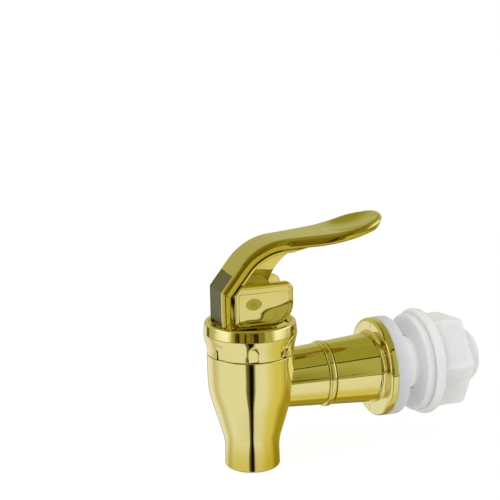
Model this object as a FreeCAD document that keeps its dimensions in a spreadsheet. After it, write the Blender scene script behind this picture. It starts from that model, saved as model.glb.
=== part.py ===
import FreeCAD, Part
import math
import os
import re
import Sketcher

# Drinks dispenser spigot: a plated valve barrel with a swivelling lever on top,
# and a threaded plastic shank that a flanged nut clamps through the vessel wall.
# Millimetres. The origin is the centre of the outlet mouth, +Z is up,
# and +X runs along the shank towards the inside of the vessel.

Vector = FreeCAD.Vector
START, END, CENTRE = 1, 2, 3
ORIGIN = -1

SIZES = [
    # Barrel: the upright tube that the drink leaves by
    ("outlet_bore", 6.2),
    ("outlet_radius", 8.05),
    ("lip_radius", 8.3),
    ("lip_height", 1.6),
    ("lip_round", 0.7),
    ("lip_bend", 4.0),
    ("lip_taper", 2.2),
    ("flare_height", 7.9),
    ("flare_bend", 22.0),
    ("shoulder_radius", 12.7),
    ("shoulder_height", 23.5),
    ("shoulder_bend", 24.0),
    ("barrel_radius", 12.85),
    ("collar_radius", 11.3),
    ("collar_height", 5.4),
    # Valve seat and chamber inside the barrel
    ("shelf_height", 13.6),
    ("shelf_wall", 1.8),
    ("seat_bore", 4.5),
    ("seat_lip_radius", 5.4),
    ("seat_lip_height", 1.2),
    ("chamber_foot_radius", 8.2),
    ("chamber_shoulder", 22.0),
    ("chamber_radius", 9.6),
    # Inlet: the level tube from the vessel
    ("inlet_height", 25.2),
    ("water_bore", 4.8),
    ("branch_start", 4.0),
    ("branch_cover", 0.85),
    ("branch_end", 21.3),
    ("tube_near_radius", 8.75),
    ("tube_far_radius", 10.6),
    ("socket_depth", 9.1),
    ("spigot_radius", 6.9),
    ("socket_gap", 0.1),
    # Sleeve with its bead and wall flange
    ("joint_gap", 0.05),
    ("bead_width", 2.4),
    ("bead_rise", 0.55),
    ("bead_round", 0.9),
    ("flange_front", 38.6),
    ("flange_wall", 2.5),
    ("flange_radius", 15.0),
    ("flange_round", 1.1),
    ("flange_root", 1.0),
    ("edge_round", 0.3),
    # Shank, seals and nut
    ("shank_radius", 8.0),
    ("shank_end", 72.4),
    ("shank_chamfer", 0.8),
    ("sleeve_gap", 0.1),
    ("seal_section", 0.7),
    ("seal_radius", 5.9),
    ("washer_wall", 3.9),
    ("washer_radius", 15.1),
    ("washer_gap", 0.3),
    ("washer_round", 0.5),
    ("clamp_space", 6.0),
    ("rear_washer_wall", 2.3),
    ("rear_washer_radius", 15.0),
    ("rear_washer_round", 1.0),
    ("nut_seat_gap", 0.1),
    ("nut_thread_gap", 0.15),
    ("nut_flange_wall", 3.4),
    ("nut_flange_radius", 16.3),
    ("nut_flange_round", 1.5),
    ("nut_corner", 15.1),
    ("nut_length", 9.6),
    ("nut_phase", 25.0),
    ("nut_chamfer", 0.35),
    ("nut_end_radius", 14.6),
    # Silicone seat cup
    ("cup_flange_wall", 1.1),
    ("cup_flange_radius", 11.0),
    ("cup_flange_gap", 0.1),
    ("cup_plug_radius", 6.2),
    ("cup_plug_height", 3.8),
    ("cup_nose_radius", 3.9),
    ("cup_nose_depth", 1.6),
    ("cup_skirt_radius", 9.2),
    ("cup_skirt_shoulder", 3.2),
    ("cup_wall", 0.9),
    ("cup_pocket_floor", 1.1),
    # Bonnet: the screwed cap that holds the cup and carries the lever
    ("seam_gap", 0.1),
    ("thread_gap", 0.1),
    ("plate_wall", 1.6),
    ("rim_height", 1.4),
    ("bonnet_radius", 12.88),
    ("bonnet_band", 1.7),
    ("bonnet_swell_radius", 13.75),
    ("bonnet_swell_height", 6.4),
    ("bonnet_bend", 4.0),
    ("rim_radius", 13.3),
    ("rim_round", 0.7),
    ("recess_radius", 12.1),
    ("recess_round", 0.3),
    ("boss_radius", 4.1),
    ("boss_length", 3.6),
    ("notch_count", 8),
    ("notch_width", 3.0),
    ("notch_height", 4.2),
    ("notch_round", 1.4),
    ("notch_depth", 0.5),
    ("notch_phase", -16.5),
    # Stem, spring and pivot pin
    ("stem_radius", 3.0),
    ("guide_gap", 0.08),
    ("knob_radius", 3.0),
    ("knob_height", 1.8),
    ("knob_gap", 0.12),
    ("stem_neck_radius", 2.0),
    ("stem_neck_height", 1.3),
    ("stem_collar_radius", 5.2),
    ("stem_collar_wall", 1.1),
    ("spring_washer_wall", 0.6),
    ("spring_radius", 5.0),
    ("spring_wire", 0.4),
    ("spring_turns", 7),
    ("spring_gap", 0.05),
    ("head_rise", 3.0),
    ("head_half_width", 4.0),
    ("head_half_length", 3.6),
    ("head_corner", 3.4),
    ("pin_radius", 1.5),
    ("pin_press_gap", 0.01),
    ("pin_run_gap", 0.06),
    ("pin_reach", 5.3),
    # Lever yoke: the cheeks that rock on the bonnet
    ("foot_gap", 0.3),
    ("pivot_rise", 7.1),
    ("lever_half_width", 6.5),
    ("cheek_wall", 2.2),
    ("cheek_front", 6.7),
    ("cheek_rear", 11.2),
    ("cheek_height", 12.8),
    ("cheek_corner", 2.2),
    ("cam_radius", 6.5),
    ("yoke_roof", 1.3),
    ("roof_rear", 4.7),
    ("yoke_front_wall", 2.2),
    ("socket_side_gap", 0.2),
    ("strap_gap", 0.2),
    ("snap_slot", 1.3),
    ("snap_depth", 0.6),
    ("web_half_width", 1.6),
    ("web_foot", 5.0),
    ("web_knee", 8.2),
    ("web_knee_drop", 0.2),
    ("web_reach", 20.0),
    ("web_bend", 14.5),
    ("rail_wall", 0.8),
    ("rail_half_width", 6.0),
    ("rail_end", 13.0),
    # Lever arm: the bent strap with the thumb rest
    ("arm_front", 10.4),
    ("arm_front_wall", 2.8),
    ("arm_wall", 3.2),
    ("paddle_wall", 2.3),
    ("crease_rise", 11.2),
    ("rise_angle", 51.5),
    ("rise_length", 17.3),
    ("crown_bend", 18.0),
    ("top_angle", 3.1),
    ("top_length", 26.4),
    ("paddle_angle", 15.7),
    ("paddle_bend", 54.0),
    ("paddle_length", 11.6),
    ("tip_angle", 25.0),
    ("tip_length", 3.0),
    ("tip_bend", 9.0),
    ("foot_corner", 2.0),
    ("waist_reach", 10.5),
    ("waist_bend", 25.0),
    ("paddle_half_width", 9.4),
    ("paddle_side_length", 3.0),
    ("paddle_side_bend", 14.0),
    ("tip_corner", 9.2),
    ("plan_cut_height", 80.0),
    ("dish_place", 5.6),
    ("dish_half_length", 10.0),
    ("dish_half_width", 9.6),
    ("dish_bulge", 2.4),
    ("dish_depth", 0.8),
    # Insert let into the front of the arm
    ("inlay_half_width", 4.9),
    ("inlay_foot", 1.4),
    ("inlay_rise", 5.6),
    ("inlay_depth", 0.7),
    ("inlay_wall", 0.55),
    ("inlay_gap", 0.06),
    # How far a cut runs past the solid that it leaves
    ("overcut", 1.0),
]

BARREL_TOP = "(inlet_height + tube_near_radius + branch_cover)"
COLLAR_TOP = f"({BARREL_TOP} + collar_height)"
PLATE_UNDER = f"({COLLAR_TOP} + cup_flange_wall + cup_flange_gap)"
RECESS_FLOOR = f"({PLATE_UNDER} + plate_wall)"
RIM_TOP = f"({RECESS_FLOOR} + rim_height)"
FOOT = f"({RECESS_FLOOR} + foot_gap)"
PIVOT = f"({FOOT} + pivot_rise)"
SEAT_FLOOR = "(shelf_height + shelf_wall)"
SEAT_TOP = f"({SEAT_FLOOR} + seat_lip_height)"
PLUG_TOP = f"({SEAT_TOP} + cup_plug_height)"
KNOB_FOOT = f"({SEAT_TOP} + cup_pocket_floor)"
KNOB_TOP = f"({KNOB_FOOT} + knob_height)"
STEM_COLLAR = f"({KNOB_TOP} + stem_neck_height)"
SPRING_SEAT = f"({STEM_COLLAR} + stem_collar_wall)"
SPRING_FOOT = f"({SPRING_SEAT} + spring_washer_wall)"
SOCKET_FLOOR = "(branch_end - socket_depth)"
SLEEVE_START = "(branch_end + joint_gap)"
FLANGE_BACK = "(flange_front + flange_wall)"
WALL_FACE = f"({FLANGE_BACK} + washer_wall)"
REAR_WASHER = f"({WALL_FACE} + clamp_space)"
NUT_SEAT = f"({REAR_WASHER} + rear_washer_wall + nut_seat_gap)"
NUT_FLATS = f"({NUT_SEAT} + nut_flange_wall)"

doc = FreeCAD.newDocument("spigot")
sheet = doc.addObject("Spreadsheet::Sheet", "sizes")
for row, (alias, size) in enumerate(SIZES, start=1):
    sheet.set(f"A{row}", alias)
    sheet.set(f"B{row}", str(size))
    sheet.setAlias(f"B{row}", alias)
doc.recompute()

ALIASES = {alias for alias, size in SIZES}


def cells(text):
    """Write each size in an expression as its cell of the sheet."""
    return re.sub(r"[a-z_]+", lambda m: f"sizes.{m[0]}" if m[0] in ALIASES else m[0], text)


def value(text):
    """The number that an expression of sizes stands for."""
    result = sheet.evalExpression(cells(text))
    return float(getattr(result, "Value", result))


def origin_feature(body, role):
    """One of a body's own origin planes or axes."""
    return next(item for item in body.Origin.OriginFeatures if item.Role == role)


def new_body(label, height=None):
    """A body for one sub-part, raised to a height where one is given."""
    body = doc.addObject("PartDesign::Body", label)
    body.Label = label
    if height:
        body.setExpression(".Placement.Base.z", cells(height))
    return body


def new_sketch(body, role, offset=None):
    """A sketch on one of the body's own planes, or set off along its normal."""
    sketch = body.newObject("Sketcher::SketchObject", body.Label + "_sketch")
    sketch.AttachmentSupport = [(origin_feature(body, role), "")]
    sketch.MapMode = "FlatFace"
    if offset:
        sketch.setExpression(".AttachmentOffset.Base.z", cells(offset))
    return sketch


def constrain(sketch, kind, *places, size=None):
    """Add a constraint, bound to an expression of sizes where one is given."""
    if size is None:
        sketch.addConstraint(Sketcher.Constraint(kind, *places))
        return
    index = sketch.addConstraint(Sketcher.Constraint(kind, *places, value(size)))
    sketch.setExpression(f"Constraints[{index}]", cells(size))


def pin_point(sketch, edge, end, across, up):
    """Hold the end of an edge at its distances from the sketch's origin."""
    constrain(sketch, "DistanceX", ORIGIN, START, edge, end, size=across)
    constrain(sketch, "DistanceY", ORIGIN, START, edge, end, size=up)


def corner_arc(before, corner, after, radius):
    """The arc that rounds a corner, the point where it leaves and joins, and its turn."""
    incoming = (corner - before).normalize()
    outgoing = (after - corner).normalize()
    turn = math.atan2(incoming.cross(outgoing).z, incoming.dot(outgoing))
    trim = radius * math.tan(abs(turn) / 2)
    first = corner - incoming * trim
    last = corner + outgoing * trim
    side = Vector(-incoming.y, incoming.x, 0) * math.copysign(radius, turn)
    centre = first + side
    ends = (first, last) if turn > 0 else (last, first)
    angles = [math.atan2((end - centre).y, (end - centre).x) for end in ends]
    circle = Part.Circle(centre, Vector(0, 0, 1), radius)
    return Part.ArcOfCircle(circle, angles[0], angles[1]), first, last, turn > 0


def draw_outline(sketch, corners):
    """Draw a closed outline of straight runs. A corner with a third size is rounded to it."""
    count = len(corners)
    points = [Vector(value(corner[0]), value(corner[1]), 0) for corner in corners]
    leave = list(points)
    join = list(points)
    arcs = {}
    for k, corner in enumerate(corners):
        if len(corner) > 2:
            before, after = points[k - 1], points[(k + 1) % count]
            arc, join[k], leave[k], left = corner_arc(before, points[k], after, value(corner[2]))
            arcs[k] = (arc, left)
    first = sketch.GeometryCount
    for k in range(count):
        sketch.addGeometry(Part.LineSegment(leave[k], join[(k + 1) % count]), False)
    for k, corner in enumerate(corners):
        line, previous = first + k, first + (k - 1) % count
        if k not in arcs:
            constrain(sketch, "Coincident", previous, END, line, START)
            pin_point(sketch, line, START, corner[0], corner[1])
            continue
        arc, left = arcs[k]
        bend = sketch.addGeometry(arc, False)
        mark = sketch.addGeometry(Part.Point(points[k]), True)
        pin_point(sketch, mark, START, corner[0], corner[1])
        constrain(sketch, "PointOnObject", mark, START, previous)
        constrain(sketch, "PointOnObject", mark, START, line)
        constrain(sketch, "Tangent", previous, END, bend, START if left else END)
        constrain(sketch, "Tangent", bend, END if left else START, line, START)
        constrain(sketch, "Radius", bend, size=corner[2])


def outline(body, role, corners, offset=None):
    """A sketch with one closed outline."""
    sketch = new_sketch(body, role, offset)
    draw_outline(sketch, corners)
    return sketch


def level_outline(body, corners, height):
    """An outline on the middle plane, with a level construction line to turn it about."""
    sketch = new_sketch(body, "XZ_Plane")
    far = "shank_end"
    axis = sketch.addGeometry(Part.LineSegment(Vector(0, value(height), 0),
                                               Vector(value(far), value(height), 0)), True)
    pin_point(sketch, axis, START, "0", height)
    pin_point(sketch, axis, END, far, height)
    draw_outline(sketch, corners)
    return sketch


def circle(body, role, across, up, radius):
    """A sketch with one circle."""
    sketch = new_sketch(body, role)
    centre = Vector(value(across), value(up), 0)
    ring = sketch.addGeometry(Part.Circle(centre, Vector(0, 0, 1), value(radius)), False)
    pin_point(sketch, ring, CENTRE, across, up)
    constrain(sketch, "Radius", ring, size=radius)
    return sketch


def turn_about(body, kind, sketch, axis):
    """Revolve a sketch, or groove with it, about one of its axes."""
    feature = body.newObject("PartDesign::" + kind, f"{body.Label}_{kind.lower()}")
    feature.Profile = sketch
    feature.ReferenceAxis = (sketch, [axis])
    feature.Angle = 360
    return feature


def pad(body, sketch, length, both_ways=False):
    """Raise a sketch by a length, to one side or half to each."""
    feature = body.newObject("PartDesign::Pad", body.Label + "_pad")
    feature.Profile = sketch
    feature.SideType = "Symmetric" if both_ways else "One side"
    feature.setExpression("Length", cells(length))
    return feature


def pocket(body, sketch, length, both_ways=False, outwards=False):
    """Cut with a sketch over a length, to one side or half to each."""
    feature = body.newObject("PartDesign::Pocket", body.Label + "_pocket")
    feature.Profile = sketch
    feature.SideType = "Symmetric" if both_ways else "One side"
    feature.Reversed = outwards
    feature.setExpression("Length", cells(length))
    return feature


def tube_radius(reach):
    """The outside radius of the level tube, which widens evenly from barrel to flange."""
    share = f"({reach} - barrel_radius) / (flange_front - barrel_radius)"
    return f"(tube_near_radius + (tube_far_radius - tube_near_radius) * {share})"


def along(corner, angle, length):
    """The point a length away from a corner, at an angle to the level."""
    return (f"({corner[0]} + {length} * cos({angle}))", f"({corner[1]} + {length} * sin({angle}))")


def inset(corner, before, after, depth):
    """A corner of the strap moved inwards by a depth, square to both of its runs."""
    middle = f"({before} + {after}) / 2"
    reach = f"{depth} / cos(({before} - {after}) / 2)"
    return (f"({corner[0]} + {reach} * sin({middle}))", f"({corner[1]} - {reach} * cos({middle}))")


def make_barrel():
    body = new_body("barrel")
    outside = outline(body, "XZ_Plane", [
        ("0", "0"),
        ("lip_radius", "0", "lip_round"),
        ("lip_radius", "lip_height", "lip_bend"),
        ("outlet_radius", "lip_height + lip_taper", "lip_bend"),
        ("outlet_radius", "flare_height", "flare_bend"),
        ("shoulder_radius", "shoulder_height", "shoulder_bend"),
        ("barrel_radius", BARREL_TOP),
        ("collar_radius", BARREL_TOP),
        ("collar_radius", COLLAR_TOP),
        ("0", COLLAR_TOP),
    ])
    turn_about(body, "Revolution", outside, "V_Axis")
    branch = level_outline(body, [
        ("branch_start", "inlet_height"),
        ("branch_end", "inlet_height"),
        ("branch_end", "inlet_height + " + tube_radius("branch_end")),
        ("branch_start", "inlet_height + " + tube_radius("branch_start")),
    ], "inlet_height")
    turn_about(body, "Revolution", branch, "Axis0")
    cavity = outline(body, "XZ_Plane", [
        ("0", "-overcut"),
        ("outlet_bore", "-overcut"),
        ("outlet_bore", "shelf_height"),
        ("seat_bore", "shelf_height"),
        ("seat_bore", SEAT_TOP),
        ("seat_lip_radius", SEAT_TOP),
        ("seat_lip_radius", SEAT_FLOOR),
        ("chamber_foot_radius", SEAT_FLOOR),
        ("chamber_radius", "chamber_shoulder"),
        ("chamber_radius", COLLAR_TOP + " + overcut"),
        ("0", COLLAR_TOP + " + overcut"),
    ])
    turn_about(body, "Groove", cavity, "V_Axis")
    socket_top = "inlet_height + spigot_radius + socket_gap"
    bore_top = "inlet_height + water_bore"
    bore = level_outline(body, [
        ("branch_start", "inlet_height"),
        ("branch_end + overcut", "inlet_height"),
        ("branch_end + overcut", socket_top),
        (SOCKET_FLOOR, socket_top),
        (SOCKET_FLOOR, bore_top),
        ("branch_start", bore_top),
    ], "inlet_height")
    turn_about(body, "Groove", bore, "Axis0")
    return body


def make_bonnet():
    body = new_body("bonnet")
    skirt_foot = f"({BARREL_TOP} + seam_gap)"
    profile = outline(body, "XZ_Plane", [
        ("stem_radius + guide_gap", PLATE_UNDER + " - boss_length"),
        ("boss_radius", PLATE_UNDER + " - boss_length"),
        ("boss_radius", PLATE_UNDER),
        ("collar_radius + thread_gap", PLATE_UNDER),
        ("collar_radius + thread_gap", skirt_foot),
        ("bonnet_radius", skirt_foot),
        ("bonnet_radius", skirt_foot + " + bonnet_band", "bonnet_bend"),
        ("bonnet_swell_radius", skirt_foot + " + bonnet_swell_height", "bonnet_bend"),
        ("rim_radius", RIM_TOP, "rim_round"),
        ("recess_radius", RIM_TOP, "recess_round"),
        ("recess_radius", RECESS_FLOOR, "recess_round"),
        ("stem_radius + guide_gap", RECESS_FLOOR),
    ])
    turn_about(body, "Revolution", profile, "V_Axis")
    notch = outline(body, "XZ_Plane", [
        ("-notch_width / 2", skirt_foot + " - overcut"),
        ("notch_width / 2", skirt_foot + " - overcut"),
        ("notch_width / 2", skirt_foot + " + notch_height", "notch_round"),
        ("-notch_width / 2", skirt_foot + " + notch_height", "notch_round"),
    ], offset="bonnet_radius - notch_depth")
    cut = pocket(body, notch, "bonnet_swell_radius", outwards=True)
    ring = body.newObject("PartDesign::PolarPattern", "bonnet_notches")
    ring.Originals = [cut]
    ring.Axis = (origin_feature(body, "Z_Axis"), [""])
    ring.Angle = 360
    ring.setExpression("Occurrences", cells("notch_count"))
    body.Tip = ring
    body.setExpression(".Placement.Rotation.Angle", cells("notch_phase") + " * 1 deg")
    return body


def make_inlet_sleeve():
    body = new_body("inlet_sleeve", "inlet_height")
    bore = "shank_radius + sleeve_gap"
    bead_end = f"({SLEEVE_START} + bead_width)"
    bead_top = tube_radius("branch_end") + " + bead_rise"
    profile = outline(body, "XZ_Plane", [
        (SLEEVE_START, bore),
        (SLEEVE_START, bead_top, "bead_round"),
        (bead_end, bead_top, "bead_round"),
        (bead_end, tube_radius(bead_end)),
        ("flange_front", "tube_far_radius", "flange_root"),
        ("flange_front", "flange_radius", "flange_round"),
        (FLANGE_BACK, "flange_radius", "edge_round"),
        (FLANGE_BACK, bore),
    ])
    turn_about(body, "Revolution", profile, "H_Axis")
    return body


def make_shank():
    body = new_body("shank", "inlet_height")
    spigot_end = f"({SOCKET_FLOOR} + 2 * seal_section)"
    profile = outline(body, "XZ_Plane", [
        (spigot_end, "water_bore"),
        (spigot_end, "spigot_radius", "edge_round"),
        (SLEEVE_START, "spigot_radius"),
        (SLEEVE_START, "shank_radius"),
        ("shank_end - shank_chamfer", "shank_radius"),
        ("shank_end", "shank_radius - shank_chamfer"),
        ("shank_end", "water_bore"),
    ])
    turn_about(body, "Revolution", profile, "H_Axis")
    return body


def make_shank_seal():
    ring = doc.addObject("Part::Torus", "shank_seal")
    ring.setExpression("Radius1", cells("seal_radius"))
    ring.setExpression("Radius2", cells("seal_section"))
    ring.Placement = FreeCAD.Placement(Vector(), FreeCAD.Rotation(Vector(0, 1, 0), 90))
    ring.setExpression(".Placement.Base.x", cells(SOCKET_FLOOR + " + seal_section"))
    ring.setExpression(".Placement.Base.z", cells("inlet_height"))
    return ring


def make_front_washer():
    body = new_body("front_washer", "inlet_height")
    profile = outline(body, "XZ_Plane", [
        (FLANGE_BACK, "shank_radius + sleeve_gap"),
        (FLANGE_BACK, "washer_radius", "edge_round"),
        (WALL_FACE, "washer_radius", "washer_round"),
        (WALL_FACE, "shank_radius + sleeve_gap"),
    ])
    turn_about(body, "Revolution", profile, "H_Axis")
    return body


def make_rear_washer():
    body = new_body("rear_washer", "inlet_height")
    back = f"({REAR_WASHER} + rear_washer_wall)"
    profile = outline(body, "XZ_Plane", [
        (REAR_WASHER, "shank_radius + washer_gap"),
        (REAR_WASHER, "rear_washer_radius", "rear_washer_round"),
        (back, "rear_washer_radius", "edge_round"),
        (back, "shank_radius + washer_gap"),
    ])
    turn_about(body, "Revolution", profile, "H_Axis")
    return body


def make_mounting_nut():
    body = new_body("mounting_nut", "inlet_height")
    turns = [f"nut_phase + {60 * side}" for side in range(6)]
    flats = outline(body, "YZ_Plane", [
        (f"-nut_corner * sin({turn})", f"nut_corner * cos({turn})") for turn in turns
    ], offset=NUT_SEAT + " + nut_flange_wall / 2")
    pad(body, flats, "nut_length + nut_flange_wall / 2")
    flange = outline(body, "XZ_Plane", [
        (NUT_SEAT, "0"),
        (NUT_SEAT, "nut_flange_radius", "nut_flange_round"),
        (NUT_FLATS, "nut_flange_radius", "nut_flange_round"),
        (NUT_FLATS, "0"),
    ])
    turn_about(body, "Revolution", flange, "H_Axis")
    nut_end = f"({NUT_FLATS} + nut_length)"
    corners = outline(body, "XZ_Plane", [
        (nut_end + " - nut_chamfer", "nut_corner"),
        (nut_end, "nut_end_radius"),
        (nut_end + " + overcut", "nut_end_radius"),
        (nut_end + " + overcut", "nut_corner + overcut"),
        (nut_end + " - nut_chamfer", "nut_corner + overcut"),
    ])
    turn_about(body, "Groove", corners, "H_Axis")
    hole = outline(body, "XZ_Plane", [
        (NUT_SEAT + " - overcut", "0"),
        (NUT_SEAT + " - overcut", "shank_radius + nut_thread_gap"),
        (nut_end + " + overcut", "shank_radius + nut_thread_gap"),
        (nut_end + " + overcut", "0"),
    ])
    turn_about(body, "Groove", hole, "H_Axis")
    return body


def make_seat_cup():
    body = new_body("seat_cup")
    skirt_top = f"({COLLAR_TOP} - cup_skirt_shoulder)"
    profile = outline(body, "XZ_Plane", [
        ("0", SEAT_TOP + " - cup_nose_depth"),
        ("cup_nose_radius", SEAT_TOP + " - cup_nose_depth"),
        ("cup_nose_radius", SEAT_TOP),
        ("cup_plug_radius", SEAT_TOP),
        ("cup_plug_radius", PLUG_TOP),
        ("cup_skirt_radius", skirt_top),
        ("cup_skirt_radius", COLLAR_TOP),
        ("cup_flange_radius", COLLAR_TOP),
        ("cup_flange_radius", COLLAR_TOP + " + cup_flange_wall"),
        ("cup_skirt_radius - cup_wall", COLLAR_TOP + " + cup_flange_wall"),
        ("cup_skirt_radius - cup_wall", skirt_top),
        ("cup_plug_radius - cup_wall / 2", PLUG_TOP),
        ("stem_neck_radius + knob_gap", PLUG_TOP),
        ("stem_neck_radius + knob_gap", KNOB_TOP + " + knob_gap"),
        ("knob_radius + knob_gap", KNOB_TOP + " + knob_gap"),
        ("knob_radius + knob_gap", KNOB_FOOT + " - knob_gap"),
        ("0", KNOB_FOOT + " - knob_gap"),
    ])
    turn_about(body, "Revolution", profile, "V_Axis")
    return body


def make_stem():
    body = new_body("stem")
    head_foot = f"({RECESS_FLOOR} + head_rise)"
    shaft = outline(body, "XZ_Plane", [
        ("0", KNOB_FOOT),
        ("knob_radius", KNOB_FOOT),
        ("knob_radius", KNOB_TOP),
        ("stem_neck_radius", KNOB_TOP),
        ("stem_neck_radius", STEM_COLLAR),
        ("stem_collar_radius", STEM_COLLAR),
        ("stem_collar_radius", SPRING_SEAT),
        ("stem_radius", SPRING_SEAT),
        ("stem_radius", head_foot + " + overcut"),
        ("0", head_foot + " + overcut"),
    ])
    turn_about(body, "Revolution", shaft, "V_Axis")
    head = outline(body, "XZ_Plane", [
        ("-head_half_length", head_foot),
        ("head_half_length", head_foot),
        ("head_half_length", PIVOT + " + head_half_length", "head_corner"),
        ("-head_half_length", PIVOT + " + head_half_length", "head_corner"),
    ])
    pad(body, head, "2 * head_half_width", both_ways=True)
    eye = circle(body, "XZ_Plane", "0", PIVOT, "pin_radius + pin_press_gap")
    pocket(body, eye, "2 * head_half_width + 2 * overcut", both_ways=True)
    return body


def make_spring_washer():
    body = new_body("spring_washer")
    profile = outline(body, "XZ_Plane", [
        ("stem_radius + guide_gap", SPRING_SEAT),
        ("stem_collar_radius", SPRING_SEAT),
        ("stem_collar_radius", SPRING_FOOT),
        ("stem_radius + guide_gap", SPRING_FOOT),
    ])
    turn_about(body, "Revolution", profile, "V_Axis")
    return body


def make_stem_spring():
    body = new_body("stem_spring")
    first_turn = f"({SPRING_FOOT} + spring_wire + spring_gap)"
    height = f"({PLATE_UNDER} - {SPRING_FOOT} - 2 * spring_wire - 2 * spring_gap)"
    wire = circle(body, "XZ_Plane", "spring_radius", first_turn, "spring_wire")
    coil = body.newObject("PartDesign::AdditiveHelix", "stem_spring_coil")
    coil.Profile = wire
    coil.ReferenceAxis = (wire, ["V_Axis"])
    coil.Mode = "height-turns-angle"
    coil.setExpression("Height", cells(height))
    coil.setExpression("Turns", cells("spring_turns"))
    return body


def make_pivot_pin():
    pin = doc.addObject("Part::Cylinder", "pivot_pin")
    pin.setExpression("Radius", cells("pin_radius"))
    pin.setExpression("Height", cells("2 * pin_reach"))
    pin.Placement = FreeCAD.Placement(Vector(), FreeCAD.Rotation(Vector(1, 0, 0), -90))
    pin.setExpression(".Placement.Base.y", cells("-pin_reach"))
    pin.setExpression(".Placement.Base.z", cells(PIVOT))
    return pin


FOOT_CORNER = ("(-arm_front)", FOOT)
CREASE = ("(-arm_front)", f"({FOOT} + crease_rise)")
CROWN = along(CREASE, "rise_angle", "rise_length")
PADDLE = along(CROWN, "top_angle", "top_length")
TIP = along(PADDLE, "paddle_angle", "paddle_length")
ARM_END = along(TIP, "tip_angle", "tip_length")
INNER_CREASE = inset(CREASE, "90", "rise_angle", "arm_wall")
INNER_CROWN = inset(CROWN, "rise_angle", "top_angle", "arm_wall")


def rail_line(depth):
    """The crease and the crown of a line that runs a depth below the strap."""
    crease = inset(CREASE, "90", "rise_angle", f"(arm_wall + {depth})")
    crown = inset(CROWN, "rise_angle", "top_angle", f"(arm_wall + {depth})")
    return crease, crown


def make_lever_arm():
    body = new_body("lever_arm")
    inner_paddle = inset(PADDLE, "top_angle", "paddle_angle", "arm_wall")
    inner_tip = inset(TIP, "paddle_angle", "tip_angle", "paddle_wall")
    wall_top = (f"{INNER_CREASE[1]} + (-arm_front + arm_front_wall - {INNER_CREASE[0]}) "
                "* tan(rise_angle)")
    strap = outline(body, "XZ_Plane", [
        FOOT_CORNER,
        ("-arm_front + arm_front_wall", FOOT),
        ("-arm_front + arm_front_wall", wall_top),
        INNER_CROWN + ("crown_bend - arm_wall",),
        inner_paddle + ("paddle_bend + arm_wall",),
        inner_tip + ("tip_bend + paddle_wall",),
        (ARM_END[0], ARM_END[1] + " - paddle_wall"),
        ARM_END,
        TIP + ("tip_bend",),
        PADDLE + ("paddle_bend",),
        CROWN + ("crown_bend",),
        CREASE,
    ])
    pad(body, strap, "2 * paddle_half_width + 2 * overcut", both_ways=True)
    tip = ARM_END[0]
    widest = f"({tip} - tip_corner - paddle_side_length)"
    plan_corners = [
        ("-arm_front", "-lever_half_width", "foot_corner"),
        ("waist_reach", "-lever_half_width", "waist_bend"),
        (widest, "-paddle_half_width", "paddle_side_bend"),
        (tip, "-paddle_half_width", "tip_corner"),
        (tip, "paddle_half_width", "tip_corner"),
        (widest, "paddle_half_width", "paddle_side_bend"),
        ("waist_reach", "lever_half_width", "waist_bend"),
        ("-arm_front", "lever_half_width", "foot_corner"),
    ]
    plan = new_sketch(body, "XY_Plane")
    margin = "(paddle_half_width + 2 * overcut)"
    draw_outline(plan, [
        ("-arm_front - overcut", "-" + margin),
        (tip + " + overcut", "-" + margin),
        (tip + " + overcut", margin),
        ("-arm_front - overcut", margin),
    ])
    draw_outline(plan, plan_corners)
    pocket(body, plan, "2 * plan_cut_height", both_ways=True)
    floor_crease = inset(CREASE, "90", "rise_angle", "inlay_depth")
    recess = outline(body, "XZ_Plane", [
        ("-arm_front", FOOT + " + inlay_foot"),
        ("-arm_front + inlay_depth", FOOT + " + inlay_foot"),
        floor_crease,
        along(floor_crease, "rise_angle", "inlay_rise"),
        along(CREASE, "rise_angle", "inlay_rise"),
        CREASE,
    ])
    pocket(body, recess, "2 * inlay_half_width", both_ways=True)
    hollow_out_dish(body)
    return body


def hollow_out_dish(body):
    """The shallow oval that the thumb rests in, on the slope of the paddle."""
    middle = along(PADDLE, "paddle_angle", "dish_place")
    centre = along(middle, "(paddle_angle + 90)", "(dish_bulge - dish_depth)")
    dish = body.newObject("PartDesign::SubtractiveEllipsoid", "lever_arm_dish")
    dish.AttachmentSupport = [(origin_feature(body, "XZ_Plane"), "")]
    dish.MapMode = "FlatFace"
    dish.setExpression("Radius1", cells("dish_half_width"))
    dish.setExpression("Radius2", cells("dish_half_length"))
    dish.setExpression("Radius3", cells("dish_bulge"))
    dish.setExpression(".AttachmentOffset.Base.x", cells(centre[0]))
    dish.setExpression(".AttachmentOffset.Base.y", cells(centre[1]))
    dish.setExpression(".AttachmentOffset.Rotation.Angle", cells("paddle_angle") + " * 1 deg")


def make_lever_inlay():
    body = new_body("lever_inlay")
    foot = f"({FOOT} + inlay_foot + inlay_gap)"
    outer_crease = inset(CREASE, "90", "rise_angle", "(inlay_depth - inlay_gap - inlay_wall)")
    inner_crease = inset(CREASE, "90", "rise_angle", "(inlay_depth - inlay_gap)")
    strip = outline(body, "XZ_Plane", [
        (outer_crease[0], foot),
        (inner_crease[0], foot),
        inner_crease,
        along(inner_crease, "rise_angle", "(inlay_rise - inlay_gap)"),
        along(outer_crease, "rise_angle", "(inlay_rise - inlay_gap)"),
        outer_crease,
    ])
    pad(body, strip, "2 * (inlay_half_width - inlay_gap)", both_ways=True)
    return body


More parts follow.
